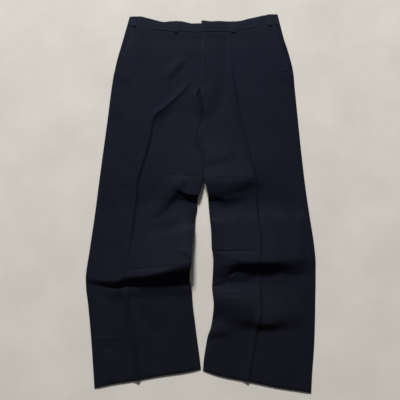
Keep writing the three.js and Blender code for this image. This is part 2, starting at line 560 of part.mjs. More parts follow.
// One waistband half: from the centre front to the side, round it, and back to the centre back.
function addWaistband(name, leg) {
  const frontEnd = leg.sign < 0 ? FLY_LAP : centreX(455);
  const backEnd = centreX(455) + (leg.sign * SEAM_GAP) / 2;
  const turn = (bandFrontHeight - bandBackHeight) / 2;
  const corner = (y) => leg.side(y) - leg.sign * (turn + BAND / 2);
  const [frontSteps, turnSteps, backSteps] = [18, 6, 12];
  const path = [];
  for (let i = 0; i <= frontSteps; i++) path.push({ share: i / frontSteps, run: 'front' });
  for (let i = 1; i < turnSteps; i++) path.push({ angle: (Math.PI * i) / turnSteps, run: 'turn' });
  for (let i = 0; i <= backSteps; i++) path.push({ share: 1 - i / backSteps, run: 'back' });
  const rows = path.map(({ share, angle, run }) => [0, 0.5, 1].map((up) => {
    const yAt = (x) => mix(leg.bandSeam(x), leg.bandTop(x), up);
    let y = 465;
    let x = 0;
    for (let pass = 0; pass < 4; pass++) {
      const side = corner(y);
      if (run === 'turn') x = side + leg.sign * turn * Math.sin(angle);
      else x = mix(run === 'front' ? frontEnd : backEnd, side, share);
      y = yAt(x);
    }
    if (run === 'turn') return new THREE.Vector3(x, y, (bandFrontHeight + bandBackHeight) / 2 + turn * Math.cos(angle));
    return new THREE.Vector3(x, y, run === 'front' ? bandFrontZ(leg, x) : bandBackHeight);
  }));
  const normals = gridNormals(rows, -leg.sign, false).map((row, r) => row.map((normal) => {
    normal.y = 0;
    if (r === 0 || r === rows.length - 1) normal.x = 0;
    return normal.normalize();
  }));
  addPiece(name, wallGeometry(rows, normals, BAND), WOOL_EDGE);
}

// How much higher than the band the front cloth is just under it.
function loopEndRise(leg, x) {
  const y = leg.bandSeam(x) - BAND_SEAM_GAP;
  const cloth = WAIST_LIFT + CLOTH + SEAM_GAP + CLOTH + loftAt(leg, x, y) + lapRise(leg, x, y);
  return Math.max(0, cloth - bandFrontZ(leg, x) - BAND / 2);
}

// A belt loop: a strip from the top of the band to just below its seam. A front one bows a little off the band.
function addBeltLoop({ name, leg: legName, x, face }) {
  const leg = legs[legName];
  const belowSeam = 4;
  const bow = 0.9;
  const steps = 8;
  const rows = [];
  for (let i = 0; i <= steps; i++) {
    const along = i / steps;
    rows.push([-0.5, 0, 0.5].map((share) => {
      const place = x + share * LOOP_WIDTH;
      const y = mix(leg.bandTop(x) - 0.5, leg.bandSeam(x) - belowSeam, along);
      if (face === 'back') return new THREE.Vector3(place, y, LOOP / 2);
      const climb = loopEndRise(leg, x) * smoothstep(0.55, 0.9, along);
      const flat = bandFrontZ(leg, x) + BAND / 2 + SEAM_GAP + LOOP / 2;
      return new THREE.Vector3(place, y, flat + climb + bow * Math.sin(Math.PI * along));
    }));
  }
  addPiece(name, wallGeometry(rows, gridNormals(rows, -1, true), LOOP), WOOL_EDGE);
}

for (const [name, leg] of Object.entries(legs)) {
  addPanel(`front_${name}`, leg, 'front');
  addPanel(`back_${name}`, leg, 'back');
  addPocketFacing(`pocket_facing_${name}`, leg);
  addWaistband(`waistband_${name}`, leg);
}
BELT_LOOPS.forEach(addBeltLoop);

export default garment;
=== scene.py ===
"""Wool slacks laid flat on a pale floor, front up, seen from above and a little from the hems.

The cloth is worked out here in millimetres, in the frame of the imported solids, and put into metres as
each mesh is made: x runs to the wearer's left, y towards the waist and z up from the floor.
"""
import math

import bpy
import numpy as np
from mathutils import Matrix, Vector
from mathutils.bvhtree import BVHTree


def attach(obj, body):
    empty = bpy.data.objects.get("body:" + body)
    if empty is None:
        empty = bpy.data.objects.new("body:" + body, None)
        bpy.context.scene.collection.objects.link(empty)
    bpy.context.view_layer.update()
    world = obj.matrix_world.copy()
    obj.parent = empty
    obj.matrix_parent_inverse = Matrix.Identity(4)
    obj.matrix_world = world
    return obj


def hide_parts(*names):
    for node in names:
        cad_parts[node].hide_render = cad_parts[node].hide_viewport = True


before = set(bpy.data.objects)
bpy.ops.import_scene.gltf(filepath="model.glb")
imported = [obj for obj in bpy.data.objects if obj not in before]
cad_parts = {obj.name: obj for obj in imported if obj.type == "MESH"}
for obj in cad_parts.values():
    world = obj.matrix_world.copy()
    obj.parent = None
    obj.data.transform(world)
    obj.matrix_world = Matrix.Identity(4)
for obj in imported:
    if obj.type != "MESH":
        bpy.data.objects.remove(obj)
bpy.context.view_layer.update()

MM = 0.001

# Walls of cloth, and the gaps between pieces
CLOTH = 1.2
BAND = 1.8
LOOP = 1.0
LOOP_WIDTH = 11
SEAM_GAP = 0.3
BAND_SEAM_GAP = 0.8
BAND_HOLLOW = 0.6  # between the waistband's front and back runs
BACK_SEAM_SHIFT = 1.6  # of the back's centre seam to the wearer's left of the front's

# How far the front stands off the back, and how fast it gets there from an edge
LOFT = 3.4
WAIST_LOFT = 1.1
HEM_LOFT = 3.2
HEM_ROLL = 2.6
EDGE_ROLL = 6
LAP_RISE = 1.7  # of a front over a facing or over the other front's lap
WAIST_LIFT = LOOP + 0.5  # of the back at the waist, over the back's belt loops

# Places along y, and the fly's lap across x
UNDER_BAND = 404  # where the back cloth comes down to the floor
MOUTH_END = 328
FLY_END = 300
FLY_LAP = 27
CROTCH = 141
FORK = 36

# The mesh
CLOTH_STEP = {"front": 2.7, "back": 5}  # between mesh points along a panel
CLOTH_COLUMNS = {"front": 91, "back": 59}
NEAR_CREASE = (0.006, 0.013, 0.021, 0.03, 0.041)  # more columns, as shares of a panel's width
WORN_REACH = 2.4  # of the rubbed look, in from an edge
STILL_REACH = 14  # from an edge, where folds and ripples die away

# The sewing
HEM_DEPTH = 38
FLY_STITCH = 36  # from the fly's edge to its topstitching
MOUTH_STITCH = 5.5  # from the edge of a pocket mouth to its topstitching
STITCH_LENGTH = 2.2
STITCH_PITCH = 3
THREAD = 0.42
TACK_LENGTH = 8
TACK_ROWS = 5
TACK_PITCH = 0.5  # between the threads of a bar tack

# The line where both fronts, and both backs, meet from the waist to the fork: (y, x)
CENTRE = [
    (475, 1.5), (362, 1.5), (291, -1.5), (263, -5.5), (230, -0.5), (208, 4.5), (189, 3.5), (162, -6.5),
    (141, -9.5), (106, -0.5), (87, 6.5), (61, 7.5), (36, 7.5),
]

# Each leg from above. side, crease and inner are lines of (y, x), and band_seam and band_top of (x, y).
# mouth is the x of the pocket mouth at the waist and at its lower end.
# sections are lines across the leg of (x, y, lift): lift is how far both layers stand off the floor.
# knee_crest is the knee fold's top as (x, y, height, steepness), and knee_foot where the shin lies flat
# again, as (x, y, height).
RIGHT_LEG = {
    "sign": -1,
    "side": [
        (490, -192), (456, -200.5), (419, -210), (350, -227), (283, -237.5), (195, -246), (108, -255),
        (24, -263.5), (-59, -271.5), (-141, -280.5), (-221, -288.5), (-240, -287.5), (-279, -281.5),
        (-357, -271.5), (-490, -258),
    ],
    "crease": [
        (470, -80), (441, -82.5), (322, -100.5), (208, -120.5), (178, -128.5), (133, -136.5), (92, -147.5),
        (54, -158.5), (28, -164.5), (-7, -165.5), (-70, -171.5), (-117, -177.5), (-155, -182.5),
        (-193, -186.5), (-218, -193), (-233, -190), (-264, -183.5), (-297, -181.5), (-342, -172.5),
        (-390, -165.5), (-420, -159), (-475, -156),
    ],
    "inner": [
        (36, 7.5), (24, 4.5), (3, -1.5), (-18, -8.5), (-39, -9.5), (-59, -13.5), (-100, -17.5),
        (-141, -21.5), (-181, -23.5), (-201, -27.5), (-221, -28.5), (-240, -23.5), (-279, -20.5),
        (-318, -15.5), (-357, -10.5), (-414, -2.5), (-440, 0.5),
    ],
    "band_seam": [
        (-205, 456), (-173.5, 457), (-152.5, 453), (-124.5, 445), (-100.5, 442), (-56.5, 439), (-2, 438),
        (40, 438),
    ],
    "band_top": [
        (-205, 483), (-187.5, 483), (-166.5, 484), (-144.5, 479), (-122.5, 473), (-100.5, 468),
        (-78.5, 470), (-56.5, 470), (-35.5, 466), (-24.5, 463.5), (-2.5, 464), (40, 464),
    ],
    "mouth": (-181, -219),
    "sections": {
        "hip": [(-240, 255, 0), (-110, 250, 0), (0, 250, 0)],
        "crotch": [(-250, 150, 0), (-135, 141, 1.5), (-8, 141, 3.5)],
        "above_middle_fold": [(-258, 84, 0.4), (-150, 82, 2.5), (-50, 80, 7.5), (7, 78, 9.5)],
        "middle_fold": [
            (-263, 22, 0.5), (-164, 30, 3), (-110, 30, 5.5), (-76, 24, 8.5), (-46, 4, 13), (-24, -6, 14.5),
            (6, -5, 14.5),
        ],
        "middle_slope": [
            (-265, -2, 0.4), (-164, 2, 2.2), (-110, 2, 3.6), (-76, -2, 5), (-46, -10, 6.4), (-24, -13, 7.4),
            (0, -12, 7.4),
        ],
        "thigh_valley": [
            (-268, -24, 0.3), (-166, -24, 1.6), (-110, -26, 1.6), (-76, -26, 1), (-46, -24, 0.4),
            (-24, -22, 0.2), (-9, -22, 0.2),
        ],
        "thigh_foot": [(-269, -38, 0.4), (-166, -38, 2.2), (-110, -40, 2.4), (-46, -42, 2), (-9, -42, 1.6)],
        "thigh": [(-274, -84, 1.2), (-172, -80, 6), (-90, -78, 8.5), (-45, -77, 9), (-16, -76, 5)],
        "shin": [(-270, -372, 0), (-168, -368, 0), (-10, -352, 0)],
        "hem": [
            (-258.5, -479, 0), (-216.5, -470, 0), (-156.5, -461, 0), (-100.5, -451, 0), (-41.5, -443, 0),
            (0.5, -435, 0),
        ],
    },
    "knee_crest": [
        (-289, -214, 3, 0), (-271, -217, 6, 0), (-240, -221, 11, 0), (-205, -219, 17, 0.3),
        (-190, -210, 19, 0.5), (-172, -208, 23, 0.8), (-147, -207, 27, 1), (-87, -194, 34, 1),
        (-48, -182, 38, 1), (-24, -176, 37, 1),
    ],
    "knee_foot": [
        (-289, -232, 0), (-262, -237, 0.2), (-238, -241, 0.3), (-215, -248, 0.4), (-195, -253, 0.6),
        (-180, -247, 0.8), (-150, -243, 1), (-88, -243, 1.4), (-25, -243, 1.6),
    ],
}

LEFT_LEG = {
    "sign": 1,
    "side": [
        (490, 208.5), (458, 215.5), (419, 224.5), (396, 231.5), (373, 237.5), (328, 246.5), (283, 249.5),
        (195, 255.5), (108, 261.5), (24, 268.5), (-59, 277.5), (-141, 286.5), (-181, 288.5), (-221, 287.5),
        (-260, 285.5), (-318, 282.5), (-376, 278.5), (-451, 270.5), (-495, 267),
    ],
    "crease": [
        (470, 82.5), (393, 83.5), (333, 84.5), (290, 86.5), (258, 93.5), (205, 101.5), (158, 114.5),
        (102, 125.5), (53, 138.5), (32, 139.5), (-1, 144.5), (-57, 144.5), (-101, 150.5), (-139, 151.5),
        (-165, 146.5), (-211, 145.5), (-257, 147.5), (-288, 149.5), (-324, 141.5), (-360, 134.5),
        (-390, 129.5), (-431, 124.5), (-475, 113),
    ],
    "inner": [
        (36, 7.5), (24, 10.5), (3, 17.5), (-18, 18.5), (-59, 21.5), (-100, 25.5), (-141, 26.5),
        (-161, 30.5), (-201, 29.5), (-240, 27.5), (-279, 31.5), (-318, 27.5), (-338, 23.5), (-357, 16.5),
        (-395, 9.5), (-414, 6.5), (-445, 4),
    ],
    "band_seam": [
        (-2, 438), (84.5, 440), (118.5, 446), (140.5, 450), (172.5, 458), (193.5, 459), (220, 458),
    ],
    "band_top": [
        (-2, 471), (2.5, 471), (30.5, 468.5), (51.5, 470), (84.5, 469), (106.5, 471), (128.5, 477),
        (150.5, 482), (172.5, 487), (194.5, 490), (220, 490),
    ],
    "mouth": (193, 233.5),
    "sections": {
        "hip": [(0, 250, 0), (95, 250, 0), (252, 255, 0)],
        "crotch": [(-8, 141, 3.5), (118, 141, 3), (258, 150, 0)],
        "above_middle_fold": [(7, 78, 9.5), (60, 80, 10.5), (130, 80, 7), (264, 84, 0.4)],
        "middle_fold": [
            (8, 22, 17), (30, 23, 19), (62, 25, 19), (105, 31, 17), (130, 35, 13), (148, 34, 8),
            (170, 30, 4), (268, 22, 0.5),
        ],
        "middle_slope": [
            (14, -12, 8), (40, -13, 7.6), (62, -14, 5.6), (105, -2, 6), (144, 6, 3.6), (172, 0, 2.2),
            (272, -10, 0.4),
        ],
        "thigh_valley": [
            (18, -21, 0.2), (48, -26, 0.2), (66, -34, 0.4), (105, -26, 0.8), (144, -20, 1.2), (275, -30, 0.3),
        ],
        "thigh_foot": [
            (19, -38, 1.6), (48, -44, 2), (66, -48, 2.2), (105, -42, 2.4), (144, -40, 2.6), (275, -44, 0.5),
        ],
        "thigh": [
            (23, -64, 3.7), (50, -66, 5.9), (98, -66, 8), (150, -66, 8), (190, -67, 7.2), (220, -68, 6.2),
            (250, -70, 5.2), (279, -72, 1.4),
        ],
        "shin": [(14, -366, 0), (133, -370, 0), (278, -376, 0)],
        "hem": [
            (4.5, -438, 0), (46.5, -451, 0), (115.5, -464, 0), (192.5, -479, 0), (235.5, -485, 0),
            (267.5, -490, 0),
        ],
    },
    "knee_crest": [
        (28, -152, 13, 0), (50, -159, 19, 0.2), (72, -165, 23, 0.35), (90, -169, 24.5, 0.75),
        (108, -171, 26, 1), (150, -173, 26, 1), (180, -172, 24, 1), (192, -171, 22, 0.72),
        (204, -170, 19, 0.3), (228, -168, 17, 0), (250, -166, 14, 0), (264, -165, 7, 0), (289, -163, 3, 0),
    ],
    "knee_foot": [
        (28, -240, 2), (52, -242, 1.6), (74, -236, 1.2), (98, -218, 0.8), (150, -209, 0.8), (188, -210, 0.6),
        (207, -217, 0.4), (230, -218, 0.3), (256, -214, 0.2), (289, -196, 0),
    ],
}

# Sections from the waist to the hem
STATIONS = [
    "waist", "under_band", "mouth_end", "under_mouth", "hip", "crotch", "above_middle_fold", "middle_fold",
    "middle_slope", "thigh_valley", "thigh_foot", "thigh", "knee_rise", "knee_slope", "knee_shoulder",
    "knee_roll", "knee_crest", "knee_lip", "knee_face", "knee_tuck", "knee_base", "knee_floor",
    "knee_foot", "knee_heel", "knee_end", "shin", "hem",
]

# The knee fold from the thigh to the shin. before is millimetres above the crest, after below the foot, and
# across a share of the way from the crest to the foot. up and foot_up are shares of the crest's and the
# foot's heights. Where the steepness is 0 the fold is gentle: it has no overhang, and goes down evenly.
KNEE_PROFILE = {
    "knee_rise": {"before": 84, "up": 0.46},
    "knee_slope": {"before": 54, "up": 0.65},
    "knee_shoulder": {"before": 26, "up": 0.83},
    "knee_roll": {"before": 9, "up": 0.945},
    "knee_crest": {"across": 0, "gentle": 0, "up": 1, "gentle_up": 1},
    "knee_lip": {"across": 0.2, "gentle": 0.25, "up": 0.9, "gentle_up": 0.84},
    "knee_face": {"across": 0.235, "gentle": 0.5, "up": 0.6, "gentle_up": 0.5},
    "knee_tuck": {"across": 0.225, "gentle": 0.72, "up": 0.3, "gentle_up": 0.2, "foot_up": 0.1},
    "knee_base": {"across": 0.3, "gentle": 0.84, "up": 0.08, "gentle_up": 0.06, "foot_up": 0.3},
    "knee_floor": {"across": 0.68, "gentle": 0.93, "up": 0.02, "gentle_up": 0.02, "foot_up": 0.4},
    "knee_foot": {"across": 1, "gentle": 1, "up": 0, "gentle_up": 0, "foot_up": 1},
    "knee_heel": {"after": 8, "up": 0, "foot_up": 1},
    "knee_end": {"after": 34, "up": 0, "foot_up": 0.9},
}

# The power with which a crisp fold fades away from its line
CRISP = 1.35

# Folds of the front cloth: name, crisp or soft, spread to the left and to the right of the line, and the
# line as (x, y, height), with a negative height for a trough.
FOLDS = [
    ("right upper crease", "crisp", 8, 15, [
        (-28, 302, 0), (-39, 283, 2.6), (-68, 252, 3.4), (-104, 219, 3.6), (-122, 205, 4), (-129, 178, 5),
        (-137, 133, 5), (-148, 92, 4.8), (-159, 54, 4.8), (-165, 28, 5), (-166.5, -7, 5),
        (-172.5, -70, 5), (-178.5, -117, 5), (-183.5, -155, 4.6), (-187, -193, 3.6), (-193, -214, 1.5)]),
    ("right crease wedge", "soft", 27, 9, [
        (-62, 257, 0), (-84, 238, 2.6), (-104, 219, 4.8), (-119, 207, 4.2), (-127, 190, 0.8),
        (-130, 176, 0)]),
    ("right lower crease", "crisp", 7, 15, [
        (-190, -248, 1.6), (-184, -264, 5), (-182, -297, 6), (-173, -342, 5.6), (-162, -390, 6),
        (-152, -466, 5.4)]),
    ("left upper crease", "crisp", 6, 15, [
        (78, 405, 0.4), (81, 333, 1.4), (85, 296, 3), (91, 262, 5), (99, 205, 4.6), (111, 158, 4.6),
        (122, 102, 4.6), (135, 53, 4.4), (137.5, 32, 3.6), (140.5, -1, 4.6), (141.5, -57, 4.8),
        (145.5, -101, 4.8), (147, -139, 4), (144, -168, 1.4)]),
    ("left crease double", "crisp", 5, 9, [
        (102, 300, 0), (109, 268, 1.4), (118, 232, 1.8), (124, 200, 1), (126, 186, 0)]),
    ("left lower crease", "crisp", 6, 15, [
        (144, -215, 2), (145, -257, 4.4), (146, -288, 4.4), (139, -324, 3.6), (132, -360, 4.2),
        (126, -390, 4.2), (113, -464, 4)]),
    ("right hip roll", "soft", 17, 28, [(-46, 364, 0), (-62, 344, 3), (-80, 322, 3), (-96, 300, 0)]),
    ("right side trough", "soft", 24, 24, [
        (-218, 215, 0), (-226, 185, -1.4), (-236, 120, -1.4), (-246, 60, 0)]),
    ("fly end groove", "soft", 4.5, 4.5, [
        (-3, 280, 0), (-4.5, 268, -4), (-5.5, 258, -5.5), (-1.5, 234, -5.5), (4, 210, -4.5),
        (4.5, 202, -2.6), (2, 186, -1.8), (-6, 164, -1.2), (-9.5, 145, -1), (-6, 120, -1.2),
        (1, 98, -1.4), (6, 75, -1.8), (7.5, 42, -1.4)]),
    ("fly end shade", "soft", 16, 16, [(-6, 146, 0), (-4, 128, -2.2), (0, 106, -2.2), (4, 90, 0)]),
    ("right fly roll", "soft", 7, 16, [
        (-12, 282, 0), (-14, 262, 3.4), (-10, 240, 3.4), (-4, 216, 2.4), (-3, 200, 0)]),
    ("left fly roll", "soft", 30, 8, [
        (5, 284, 0), (3, 262, 2.8), (7, 240, 3.2), (12, 216, 2.2), (16, 202, 0)]),
    ("left fly trough", "soft", 22, 26, [(62, 290, 0), (56, 256, -1.3), (46, 226, -1.3), (34, 200, 0)]),
    ("left crotch roll", "soft", 76, 26, [
        (4, 76, 0), (18, 84, 2.6), (45, 94, 3.2), (76, 106, 2), (98, 116, 0)]),
    ("left pocket end", "crisp", 3, 5, [(213, 331, 0), (217, 330, 2.4), (224, 329, 2.4), (228, 329, 0)]),
    ("right middle line", "crisp", 5, 5, [(-108, 46, 0), (-69, 44, -1.1), (-32, 42, -1.2), (2, 38, -0.7)]),
    ("right middle dash", "crisp", 7, 4, [(-203, 22, 0), (-194, 22, 1.2), (-180, 22, 1.2), (-171, 22, 0)]),
    ("left middle ridge", "crisp", 5, 5, [
        (12, 38, 0.3), (40, 40, 0.7), (90, 41, 0.7), (125, 38, 0.7), (142, 33, 0)]),
    ("right thigh drag", "soft", 19, 44, [
        (-40, 40, 0), (-50, 26, 4), (-66, 4, 6), (-84, -18, 6), (-102, -38, 4.6), (-120, -54, 2.2),
        (-130, -60, 0)]),
    ("right thigh trough", "soft", 24, 22, [
        (-138, -99, 0), (-110, -98, -1.7), (-70, -94, -1.9), (-40, -82, 0)]),
    ("right inseam dimple", "soft", 26, 11, [(-62, -138, 0), (-44, -148, 2), (-24, -156, 2.2)]),
    ("left thigh trough", "soft", 26, 40, [(24, -84, 1.6), (44, -80, 2), (72, -76, 0)]),
    ("right knee crease", "crisp", 4, 4, [
        (-192, -198, 0), (-176, -195, -1.2), (-123, -190, -1.4), (-66, -185, -1.4), (-31, -183, -1)]),
    ("right knee notch", "soft", 6, 6, [(-193, -194, 0), (-190, -211, -3), (-187, -226, 0)]),
    ("left knee crease", "crisp", 5, 5, [
        (28, -149, -1.4), (60, -150, -1.8), (110, -149, -1.6), (150, -150, 0)]),
    ("left knee bump", "soft", 30, 9, [
        (18, -230, 1), (34, -227, 2.4), (50, -221, 2.4), (62, -212, 1.4), (70, -204, 0)]),
    ("left knee inner slope", "soft", 42, 40, [
        (14, -194, 4), (30, -198, 6.5), (50, -200, 7.5), (72, -200, 6), (92, -198, 0)]),
    ("right knee foot roll", "soft", 14, 26, [
        (-240, -246, 0), (-215, -248, 3), (-180, -243, 3.8), (-120, -239, 4.2), (-60, -238, 4.2),
        (-26, -237, 3.4)]),
    ("left middle slope", "soft", 34, 30, [
        (14, -8, 2.4), (34, -12, 4.2), (64, -12, 4.2), (92, -6, 2.6), (112, 0, 0)]),
    ("left knee slope", "soft", 30, 26, [
        (56, -196, 0), (72, -202, 5), (96, -204, 6), (118, -201, 4), (138, -197, 0)]),
    ("left calf ridge", "crisp", 7, 4, [(50, -247, 0.4), (66, -249, 1.2), (100, -248, 1), (120, -246, 0)]),
    ("left calf line", "crisp", 5, 4, [(48, -264, 0.3), (66, -265, 1.4), (95, -264, 1.1), (112, -262, 0)]),
    ("left shin slope", "soft", 62, 58, [
        (26, -262, 9.5), (44, -266, 12.5), (64, -268, 13), (92, -272, 10.5), (116, -280, 6), (140, -292, 0)]),
    ("left shin fold", "soft", 84, 36, [
        (52, -302, 0), (80, -306, 7), (108, -309, 12), (138, -311, 14), (165, -312, 14), (190, -311, 11.5),
        (215, -309, 8), (245, -306, 4), (270, -304, 0)]),
    ("left shin block", "soft", 12, 14, [
        (130, -325, 0), (142, -325, 2.8), (176, -326, 2.8), (190, -324, 0)]),
    ("left shin notch", "soft", 44, 22, [(6, -346, 4), (26, -344, 6), (52, -341, 5.5), (84, -334, 0)]),
    ("right shin line", "crisp", 5, 5, [(-252, -362, 0.8), (-222, -361, 1.3), (-195, -359, 0)]),
    ("right shin dimple", "soft", 12, 12, [(-248, -386, 0), (-232, -385, -1.2), (-208, -384, 0)]),
    ("right calf hollow", "soft", 28, 28, [
        (-148, -296, 0), (-126, -320, -1.8), (-118, -344, -1.6), (-122, -366, 0)]),
]

# Folds of the back cloth, in the same way: they rise from the floor
BACK_FOLDS = [
    ("right seat fold", "soft", 24, 24, [(-24, 128, 0), (-52, 158, 1.3), (-96, 196, 1.6), (-140, 222, 0)]),
    ("left seat fold", "soft", 24, 24, [(20, 120, 0), (54, 150, 1.5), (92, 176, 1.3), (132, 214, 0)]),
    ("right thigh fold", "soft", 18, 18, [(-205, 60, 0), (-176, 48, 0.9), (-130, 44, 1.1), (-90, 52, 0)]),
    ("left thigh fold", "soft", 18, 18, [(88, 64, 0), (132, 52, 1.1), (178, 56, 0.8), (214, 70, 0)]),
    ("right calf fold", "soft", 26, 26, [
        (-236, -300, 0), (-196, -322, 1), (-148, -334, 1.2), (-96, -330, 0)]),
    ("left calf fold", "soft", 22, 22, [(60, -398, 0), (102, -410, 1), (160, -414, 1.1), (214, -402, 0)]),
]

# Belt loops: node, leg, x of the middle, and the side of the garment
BELT_LOOPS = [
    ("belt_loop_front_right", "right", -66, "front"),
    ("belt_loop_side_right", "right", -180.5, "front"),
    ("belt_loop_front_left", "left", 87, "front"),
    ("belt_loop_side_left", "left", 186, "front"),
    ("belt_loop_back_right", "right", -112, "back"),
    ("belt_loop_back_centre", "left", 7.5, "back"),
    ("belt_loop_back_left", "left", 128, "back"),
]

# Small waves that cloth keeps all over: height in mm, length in mm, direction in degrees, phase
RIPPLES = [
    (0.12, 61, 12, 0.4), (0.05, 67, 97, 1.9), (0.05, 33, 151, 3.1), (0.04, 27, 38, 5.2), (0.03, 19, 8, 2.2),
]


def mix(a, b, t):
    return a + (b - a) * t


def smoothstep(low, high, value):
    t = np.clip((value - low) / (high - low), 0, 1)
    return t * t * (3 - 2 * t)


def smooth_through(keys, values):
    """A smooth function through values at rising keys: no overshoot, and straight beyond the ends.

    values may have a second axis, and then every column is a function of its own.
    """
    keys = np.asarray(keys, float)
    values = np.asarray(values, float)
    spans = np.diff(keys).reshape((-1,) + (1,) * (values.ndim - 1))
    slopes = np.diff(values, axis=0) / spans
    product = slopes[:-1] * slopes[1:]
    total = slopes[:-1] + slopes[1:]
    tangents = np.zeros_like(values)
    tangents[0] = slopes[0]
    tangents[-1] = slopes[-1]
    tangents[1:-1] = np.where(product > 0, 2 * product / np.where(total == 0, 1, total), 0)

    def evaluate(key):
        key = np.asarray(key, float)
        i = np.clip(np.searchsorted(keys, key, side="right") - 1, 0, len(keys) - 2)
        widen = (...,) + (None,) * (values.ndim - 1)
        span = (keys[i + 1] - keys[i])[widen]
        t = np.clip((key - keys[i])[widen] / span, 0, 1)
        bend = span * t * (1 - t) * ((1 - t) * tangents[i] - t * tangents[i + 1])
        inside = mix(values[i], values[i + 1], t * t * (3 - 2 * t)) + bend
        below = values[0] + slopes[0] * (key[widen] - keys[0])
        above = values[-1] + slopes[-1] * (key[widen] - keys[-1])
        return np.where(key[widen] < keys[0], below, np.where(key[widen] > keys[-1], above, inside))

    return evaluate


def through_table(rows, column=1):
    rows = sorted(rows, key=lambda row: row[0])
    return smooth_through([row[0] for row in rows], [row[column] for row in rows])


centre_x = through_table(CENTRE)


class Leg:
    """One leg's smooth lines and sections, from its table."""

    def __init__(self, table):
        self.sign = table["sign"]
        self.side = through_table(table["side"])
        self.crease = through_table(table["crease"])
        self.band_seam = through_table(table["band_seam"])
        self.band_top = through_table(table["band_top"])
        self.mouth = table["mouth"]
        self.fork = through_table(table["inner"])
        self.sections = table["sections"]
        self.hem = through_table(table["sections"]["hem"])
        self.crest = through_table(table["knee_crest"])
        self.crest_height = through_table(table["knee_crest"], 2)
        self.steepness = through_table(table["knee_crest"], 3)
        self.foot = through_table(table["knee_foot"])
        self.foot_height = through_table(table["knee_foot"], 2)

    def inseam(self, y):
        return np.where(y > FORK, centre_x(y), self.fork(y)) + self.sign * SEAM_GAP / 2

    def mouth_x(self, y):
        top_x, bottom_x = self.mouth
        top_y = self.band_seam(top_x)
        return mix(bottom_x, top_x, (y - MOUTH_END) / (top_y - MOUTH_END))

    def station(self, name):
        """Functions of x for a section's y and its lift off the floor."""
        if name == "waist":
            return (lambda x: self.band_seam(x) - BAND_SEAM_GAP), (lambda x: 0 * x + WAIST_LIFT)
        if name == "under_band":
            return (lambda x: 0 * x + UNDER_BAND), (lambda x: 0 * x)
        if name == "mouth_end":
            return (lambda x: 0 * x + MOUTH_END + 3), (lambda x: 0 * x)
        if name == "under_mouth":
            return (lambda x: 0 * x + MOUTH_END - 6), (lambda x: 0 * x)
        if name in self.sections:
            return through_table(self.sections[name]), through_table(self.sections[name], 2)
        return self.knee_station(KNEE_PROFILE[name])

    def knee_station(self, place):
        def steep(x):
            return np.clip(self.steepness(x), 0, 1)

        def knee_y(x):
            if "before" in place:
                return self.crest(x) + place["before"]
            if "after" in place:
                return self.foot(x) - place["after"]
            return mix(self.crest(x), self.foot(x), mix(place["gentle"], place["across"], steep(x)))

        def knee_lift(x):
            up = mix(place.get("gentle_up", place["up"]), place["up"], steep(x))
            return up * self.crest_height(x) + place.get("foot_up", 0) * self.foot_height(x)

        return knee_y, knee_lift


LEGS = {"right": Leg(RIGHT_LEG), "left": Leg(LEFT_LEG)}


def panel_edges(leg, layer):
    """Functions of y for the outer and inner edges of a panel."""
    if layer == "back":
        return leg.side, lambda y: leg.inseam(y) + BACK_SEAM_SHIFT * smoothstep(FORK, FORK + 12, y)
    lap = FLY_LAP if leg.sign < 0 else 0

    def outer(y):
        return mix(leg.side(y), leg.mouth_x(y), smoothstep(MOUTH_END - 6, MOUTH_END + 2, y))

    def inner(y):
        return leg.inseam(y) + lap * smoothstep(FLY_END, FLY_END + 22, y)

    return outer, inner


def dense_ends(count, edge_shares):
    """Shares from 0 to 1, with extra ones near both ends where an edge is rounded."""
    middle = np.linspace(0, 1, count)
    return np.unique(np.concatenate([middle, edge_shares, 1 - np.asarray(edge_shares)]))


def leg_surface(leg, layer):
    """The surface between the two layers of a leg: x, y and lift on a grid from the waist to the hem."""
    outer, inner = panel_edges(leg, layer)
    shares = dense_ends(CLOTH_COLUMNS[layer], [0.0015, 0.004, 0.008])
    shares = np.unique(np.concatenate([shares, 0.5 - np.array(NEAR_CREASE), 0.5 + np.array(NEAR_CREASE)]))

    def across(y):
        crease = leg.crease(y)
        near = mix(outer(y), crease, shares * 2)
        far = mix(crease, inner(y), shares * 2 - 1)
        return np.where(shares < 0.5, near, far)

    ys, lifts = [], []
    for name in STATIONS:
        line_y, line_lift = leg.station(name)
        y = line_y(across(np.zeros_like(shares)))
        for _ in range(6):
            y = line_y(across(y))
        ys.append(y)
        lifts.append(line_lift(across(y)))
    ys, lifts = np.array(ys), np.array(lifts)
    steps = []
    for index in range(len(STATIONS) - 1):
        run = np.hypot(ys[index + 1] - ys[index], lifts[index + 1] - lifts[index]).mean()
        count = max(3, math.ceil(run / CLOTH_STEP[layer]))
        steps.append(index + np.arange(count) / count)
    last = len(STATIONS) - 1
    near_end = np.array([0.004, 0.012, 0.025, 0.045])
    steps = np.unique(np.concatenate([*steps, [last], near_end, last - near_end * 0.3]))
    y = smooth_through(np.arange(last + 1), ys)(steps)
    lift = smooth_through(np.arange(last + 1), lifts)(steps)
    x = np.array([across(row) for row in y])
    return np.stack([x, y, lift], axis=-1)


def fine_path(points):
    """A smooth line through a fold's points."""
    steps = 6
    points = np.asarray(points, float)
    padded = np.concatenate([points[:1], points, points[-1:]])
    path = []
    for i in range(len(points) - 1):
        a, b, c, d = padded[i:i + 4]
        for t in np.arange(steps) / steps:
            place = 0.5 * (2 * b + (c - a) * t + (2 * a - 5 * b + 4 * c - d) * t ** 2
                           + (3 * b - a - 3 * c + d) * t ** 3)
            path.append((place[0], place[1], mix(b[2], c[2], t)))
    path.append(tuple(points[-1]))
    return np.array(path)


